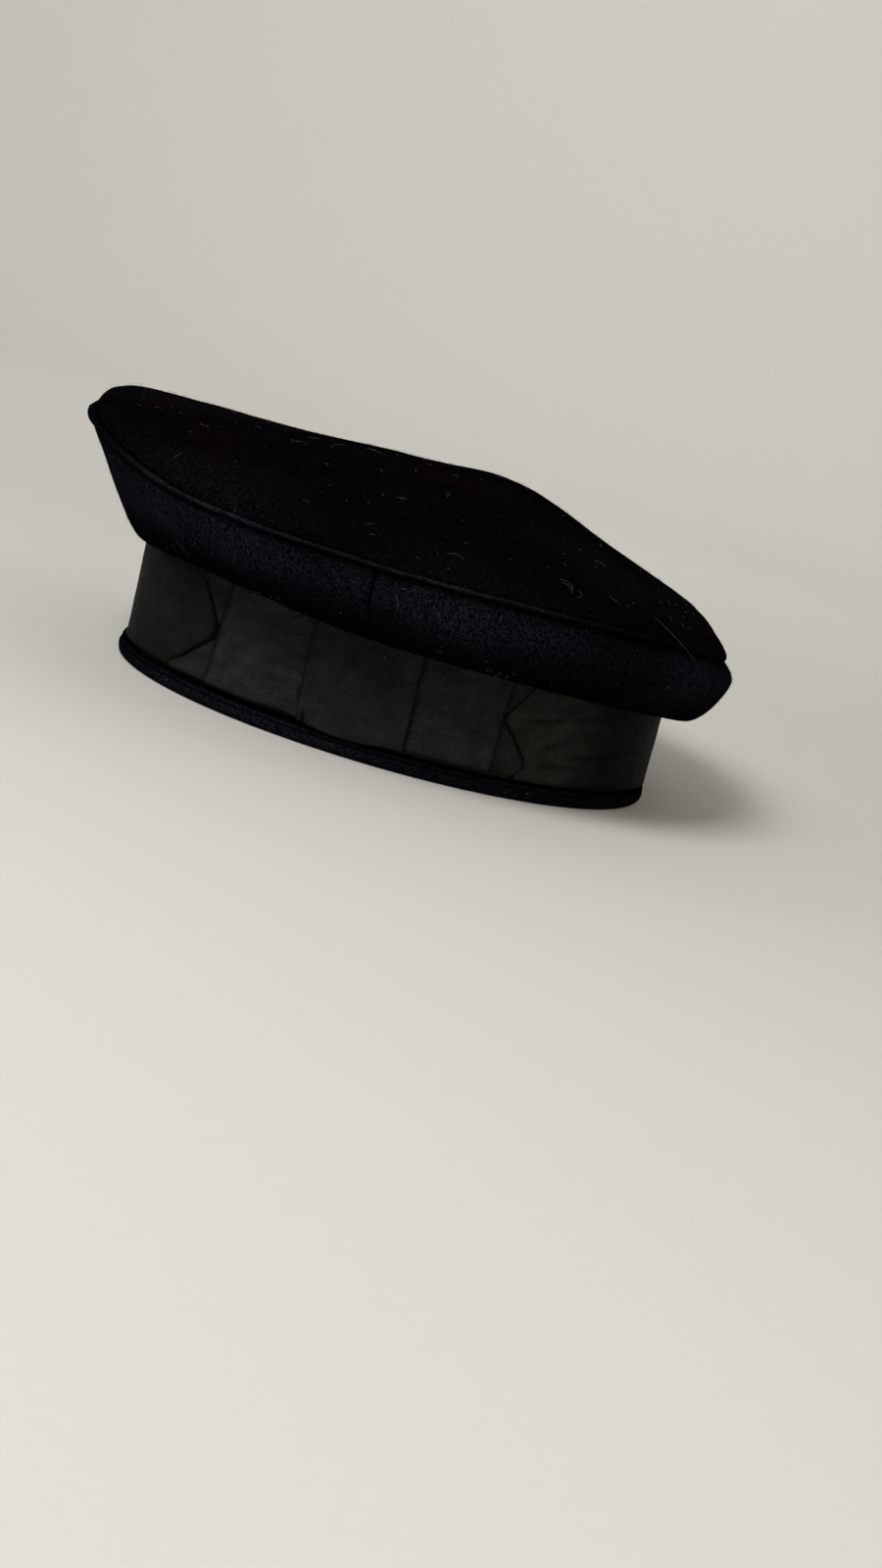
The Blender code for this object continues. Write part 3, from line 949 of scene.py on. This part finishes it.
def new_fibres(name, thickness):
    """An empty curve for fibres, each with a square section."""
    curve = bpy.data.curves.new(name, "CURVE")
    curve.dimensions = "3D"
    curve.bevel_depth = thickness / 2
    curve.bevel_resolution = 0
    curve.resolution_u = 1
    piece = bpy.data.objects.new(name, curve)
    bpy.context.scene.collection.objects.link(piece)
    return piece


def on_wool(surface, angle, share):
    """A place on the crown's top or side, and the directions out of, round and across the cloth there."""
    point = surface(angle, share)
    ahead = surface(angle + 1.0, share) - point
    across = surface(angle, min(share + 0.01, 1.0)) - surface(angle, share - 0.01)
    out = ahead.cross(across)
    if out.dot(point - Vector((0.0, 0.0, 0.05))) < 0:
        out = -out
    return point, out.normalized(), ahead.normalized(), across.normalized()


def wool_spot(rng):
    """A random place on the wool's outside, the direction out of it and one along it."""
    angle = rng.randrange(1440) / 4.0
    if rng.random() < 0.62:
        found = on_wool(top_point, angle, math.sqrt(rng.uniform(0.0, 0.99)))
    else:
        found = on_wool(side_point, angle, rng.uniform(0.45, 0.99))
    point, out, ahead, _across = found
    turn = rng.uniform(0.0, 2.0 * math.pi)
    return point, out, ahead * math.cos(turn) + out.cross(ahead) * math.sin(turn)


def make_nap(wool):
    """Short fibre ends that stand off the cloth and soften its outline."""
    rng = random.Random(11)
    piece = new_fibres("wool_nap", NAP_THICKNESS)
    for _ in range(NAP_FIBRES):
        point, out, lie = wool_spot(rng)
        length = rng.uniform(0.0006, 0.0016)
        middle = point + out * 0.35 * length + lie * 0.35 * length
        tip = point + out * rng.uniform(0.35, 0.60) * length + lie * length
        add_fibre(piece.data, [point - out * 0.0002, middle, tip], (1.0, 0.8, 0.35))
    dress(piece, [], wool)


def add_hair(curve, rng, point, out, lie, length, curl):
    """A loose hair on the cloth: it starts at a point, lies one way and bends as it goes."""
    steps = 7
    points = []
    for i in range(steps + 1):
        lift = 0.0002 + 0.0005 * math.sin(math.pi * i / steps) * rng.uniform(0.3, 1.0)
        points.append(point + out * lift)
        lie = (lie + out.cross(lie) * curl * rng.uniform(0.5, 1.5) / steps).normalized()
        point = point + lie * length / steps
    add_fibre(curve, points, [1.0 if 0 < i < steps else 0.5 for i in range(steps + 1)])


def make_loose_hairs(pale):
    """Pale hairs and curls of lint caught in the wool. The first few lie where the eye finds them on the
    cap's near side: a long hair, some curls and a little fluff under the roll."""
    rng = random.Random(23)
    piece = new_fibres("loose_hairs", HAIR_THICKNESS)
    point, out, ahead, across = on_wool(top_point, 144.5, 0.93)
    add_hair(piece.data, rng, point, out, (ahead * 0.35 + across).normalized(), 0.022, -0.4)
    for row in LINT_CURLS:
        point, out, ahead, _across = on_wool(top_point, row["angle"], row["share"])
        add_hair(piece.data, rng, point, out, ahead, row["length"], row["curl"])
    for _ in range(7):
        point, out, ahead, _across = on_wool(side_point, rng.uniform(113.0, 118.0), rng.uniform(0.55, 0.60))
        lie = ahead * rng.choice((-1.0, 1.0))
        add_hair(piece.data, rng, point, out, lie, rng.uniform(0.002, 0.004), 4.0)
    for _ in range(HAIRS):
        point, out, lie = wool_spot(rng)
        length = 0.0015 + 0.005 * rng.random() ** 2
        add_hair(piece.data, rng, point, out, lie, length, rng.uniform(-3.0, 3.0))
    dress(piece, [], pale)


def make_lint(pale, carriers):
    """Crumbs of pale lint, 0.15 to 0.5 mm across, seated on the pieces that carry them."""
    rng = random.Random(31)
    spots = [(Vector(row["place"]), row["radius"]) for row in LINT_SPOTS]
    for _ in range(CRUMBS):
        point, _out, _lie = wool_spot(rng)
        spots.append((point, 0.00009 + 0.00013 * rng.random() ** 2))
    bpy.context.view_layer.update()
    depsgraph = bpy.context.evaluated_depsgraph_get()
    trees = [bvhtree.BVHTree.FromObject(carrier, depsgraph) for carrier in carriers]
    grains = []
    for spot, radius in spots:
        found = [tree.find_nearest(spot) for tree in trees]
        seat, out, _face, _away = min(found, key=lambda hit: hit[3])
        stretch = (rng.uniform(0.6, 1.7), rng.uniform(0.6, 1.4), rng.uniform(0.5, 1.1))
        grains.append((seat + out * radius * 0.6, radius, stretch))
    piece = new_grains("lint_crumbs", grains)
    dress(piece, [], pale)


# Studio


def make_paper():
    """A pale paper that lies flat under the cap, curves up all round and stands."""
    mesh = bpy.data.meshes.new("paper_sweep")
    sweep = bmesh.new()
    profile = [Vector((0.001, 0.0, 0.0)), Vector((PAPER_FLAT, 0.0, 0.0))]
    steps = 12
    for i in range(1, steps + 1):
        a = math.pi / 2 * i / steps
        out, up = PAPER_CURVE * math.sin(a), PAPER_CURVE - PAPER_CURVE * math.cos(a)
        profile.append(Vector((PAPER_FLAT + out, 0.0, up)))
    profile.append(Vector((PAPER_FLAT + PAPER_CURVE, 0.0, PAPER_HEIGHT)))
    verts = [sweep.verts.new(point) for point in profile]
    edges = [sweep.edges.new(pair) for pair in zip(verts, verts[1:])]
    bmesh.ops.spin(
        sweep,
        geom=verts + edges,
        cent=(0.0, 0.0, 0.0),
        axis=(0.0, 0.0, 1.0),
        angle=2.0 * math.pi,
        steps=72,
        use_merge=True,
    )
    bmesh.ops.remove_doubles(sweep, verts=sweep.verts, dist=1e-5)
    bmesh.ops.translate(sweep, vec=(0.0, 0.0, -0.0002), verts=sweep.verts)
    sweep.to_mesh(mesh)
    sweep.free()
    mesh.shade_smooth()
    paper = bpy.data.objects.new("paper_sweep", mesh)
    bpy.context.scene.collection.objects.link(paper)
    mesh.materials.append(speckled_finish("pale_paper", "#d7d5d0", "#d9d7d2", 0.0030, 0.9))


def light_studio(scene):
    """One soft light in front, two dim fills, two lights that wash the paper, and a little from all round."""
    world = bpy.data.worlds.new("studio_air")
    scene.world = world
    world.use_nodes = True
    sky = world.node_tree.nodes["Background"]
    sky.inputs["Color"].default_value = srgb("#f2f2f5")
    sky.inputs["Strength"].default_value = AIR_STRENGTH
    for row in LIGHTS:
        lamp = bpy.data.lights.new(row["name"], "AREA")
        lamp.size = row["size"]
        lamp.energy = row["power"]
        lamp.color = srgb(row["code"])[:3]
        thing = bpy.data.objects.new(row["name"], lamp)
        thing.location = row["place"]
        sight = Vector(row["aim"]) - Vector(row["place"])
        thing.rotation_euler = sight.to_track_quat("-Z", "Y").to_euler()
        scene.collection.objects.link(thing)
    scene.view_settings.view_transform = "Standard"


def stand_camera(scene):
    """The photograph's camera, at the angle and distance that were fitted to the cap's edges in it."""
    bearing, lift, roll = (math.radians(v) for v in (CAMERA_BEARING, CAMERA_LIFT, CAMERA_ROLL))
    back = Vector(
        (math.sin(bearing) * math.cos(lift), -math.cos(bearing) * math.cos(lift), math.sin(lift))
    )
    level = (-back).cross(Vector((0.0, 0.0, 1.0))).normalized()
    upright = level.cross(-back)
    right = level * math.cos(roll) + upright * math.sin(roll)
    up = upright * math.cos(roll) - level * math.sin(roll)
    lens = bpy.data.cameras.new("camera")
    lens.lens = 45.0
    lens.sensor_width = 36.0
    lens.clip_start = 0.01
    camera = bpy.data.objects.new("camera", lens)
    place = right * CAMERA_RIGHT - up * CAMERA_DOWN + back * CAMERA_BACK
    turn = Matrix((right, up, back)).transposed().to_4x4()
    camera.matrix_world = Matrix.Translation(place) @ turn
    scene.collection.objects.link(camera)
    scene.camera = camera


def main():
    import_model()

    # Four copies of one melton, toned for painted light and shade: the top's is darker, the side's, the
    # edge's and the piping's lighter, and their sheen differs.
    shaded_top_wool = fulled_melton("fulled_melton_top", "#020202", "#161318", "#1b1110", 0.0)
    lit_side_wool = fulled_melton("fulled_melton_side", "#030304", "#24232b", "#231f25", 0.003)
    edge_wool = fulled_melton("fulled_melton_edge", "#040406", "#202128", "#1e1d23", 0.002)
    lit_piping_wool = fulled_melton("fulled_melton_piping", "#0b0a0d", "#2b2932", "#29262d", 0.0)
    # Four copies of one ribbon, each toned lighter or darker for painted light and shade on that piece.
    wrap_ribbon = ribbed_rayon("ribbed_rayon_wrap", "#181817", "#31312c", 0.0)
    tail_ribbon = ribbed_rayon("ribbed_rayon_tails", "#171716", "#2a2a29", 0.31)
    wing_ribbon = ribbed_rayon("ribbed_rayon_wings", "#171717", "#2e2e2f", 0.67)
    knot_ribbon = ribbed_rayon("ribbed_rayon_knot", "#141414", "#292929", 1.13)
    thread = speckled_finish("black_sewing_thread", "#020202", "#050505", 0.0008, 0.8, 0.02)
    lint = speckled_finish("pale_lint", "#48444a", "#64605e", 0.0020, 0.9, 0.02)

    crown = make_crown_top(shaded_top_wool)
    front = make_side_panel(
        "side_panel_front_cloth", "side_panel_front", -SEAM_ANGLE, SEAM_ANGLE, lit_side_wool
    )
    back = make_side_panel(
        "side_panel_back_cloth", "side_panel_back", SEAM_ANGLE, 360.0 - SEAM_ANGLE, lit_side_wool
    )
    make_rim_piping(lit_piping_wool)
    make_band(edge_wool)
    welt = make_lower_welt(edge_wool)
    make_ribbon_wrap(wrap_ribbon)
    make_bow_tails(tail_ribbon)
    make_bow_wings(wing_ribbon)
    knot = make_bow_knot(knot_ribbon)
    make_stitches(thread)
    make_nap(lit_side_wool)
    make_loose_hairs(lint)
    make_lint(lint, [crown, front, back, welt, knot])

    make_paper()
    light_studio(bpy.context.scene)
    stand_camera(bpy.context.scene)


main()
